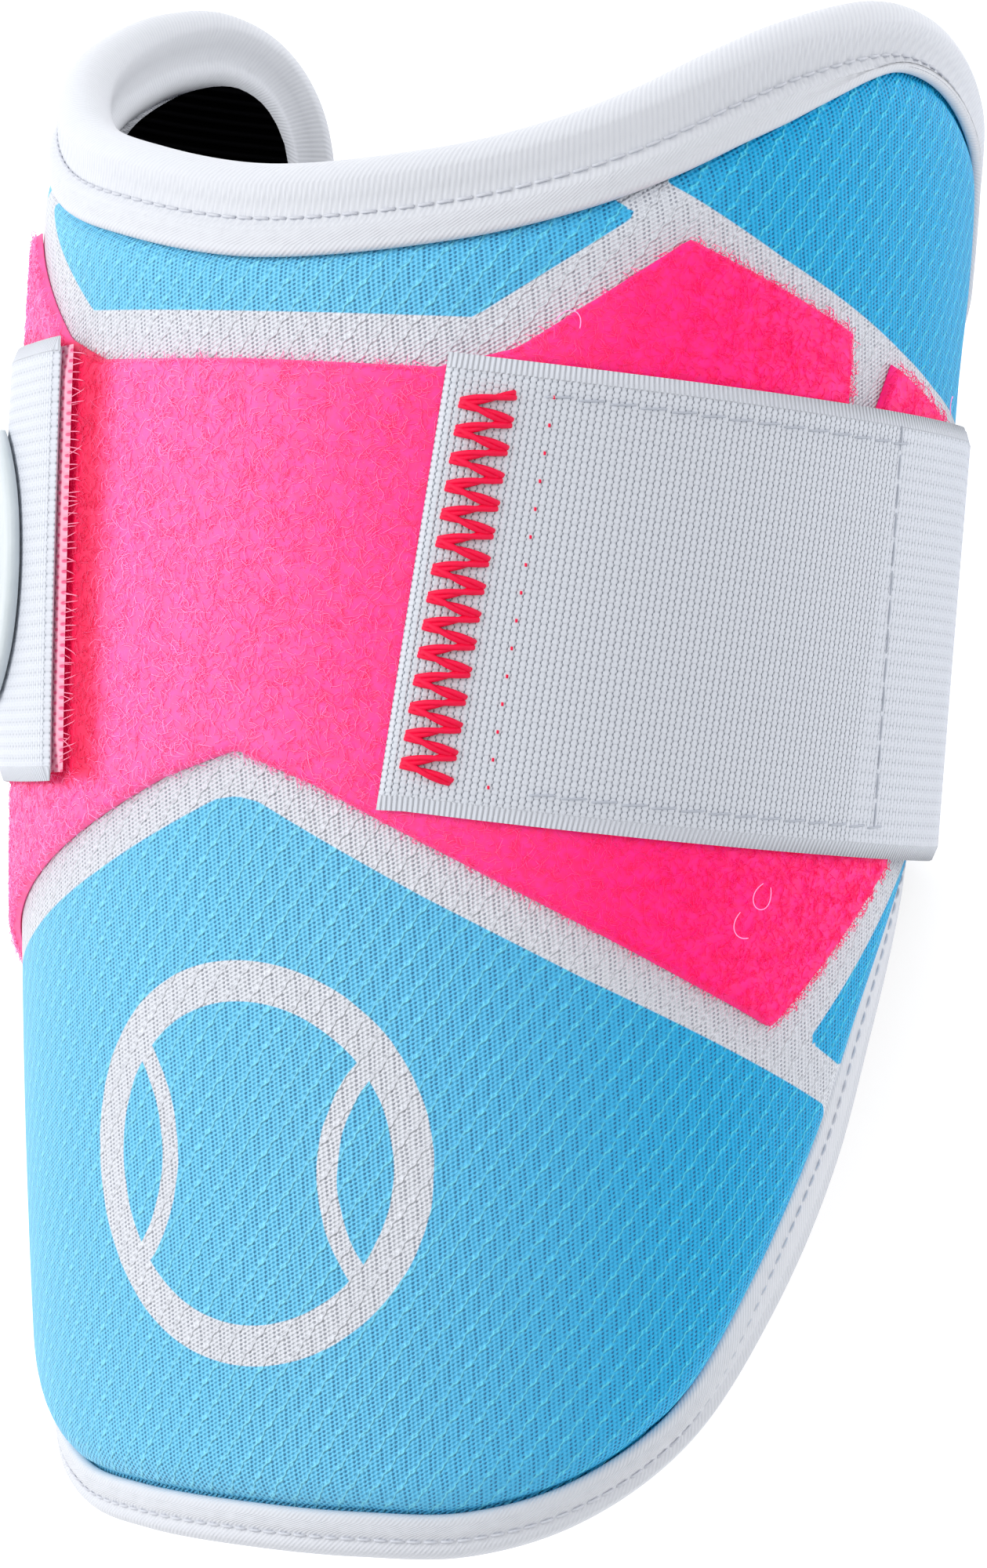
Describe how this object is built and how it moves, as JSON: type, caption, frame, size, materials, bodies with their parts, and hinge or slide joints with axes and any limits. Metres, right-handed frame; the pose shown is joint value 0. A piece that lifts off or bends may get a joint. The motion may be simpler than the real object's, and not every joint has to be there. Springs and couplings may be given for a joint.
{
  "type": "baseball elbow guard",
  "caption": "Padded elbow guard for a batter: a curved mesh-covered shell with a rolled rim, bound edges, pile panels and a wide elastic strap round the back.",
  "frame": {"origin": "under the middle of the guard's box, on the surface that it rests on", "axes": "+Y along the arm from the tongue over the forearm towards the rolled rim, +Z out of the front of the shell, +X across the arm"},
  "size_m": [0.117, 0.179, 0.0925],
  "materials": {
    "mesh_fabric": "blue and white knitted mesh over foam, semi-matt",
    "lining_fabric": "black knit, matt",
    "trim_fabric": "white stretch twill, satin",
    "loop_pile": "hot pink brushed loop pile",
    "strap_elastic": "white woven elastic webbing, matt",
    "hook_tape": "pink hook tape",
    "badge_rubber": "light grey moulded rubber"
  },
  "bodies": {
    "root": {"padded_shell": "mesh_fabric", "lining": "lining_fabric", "rim_roll": "trim_fabric", "edge_binding": "trim_fabric", "loop_panel_front": "loop_pile", "loop_panel_right": "loop_pile", "loop_panel_left": "loop_pile", "strap": "strap_elastic", "hook_tape_right": "hook_tape", "hook_tape_left": "hook_tape", "strap_badge": "badge_rubber"}
  },
  "joints": []
}
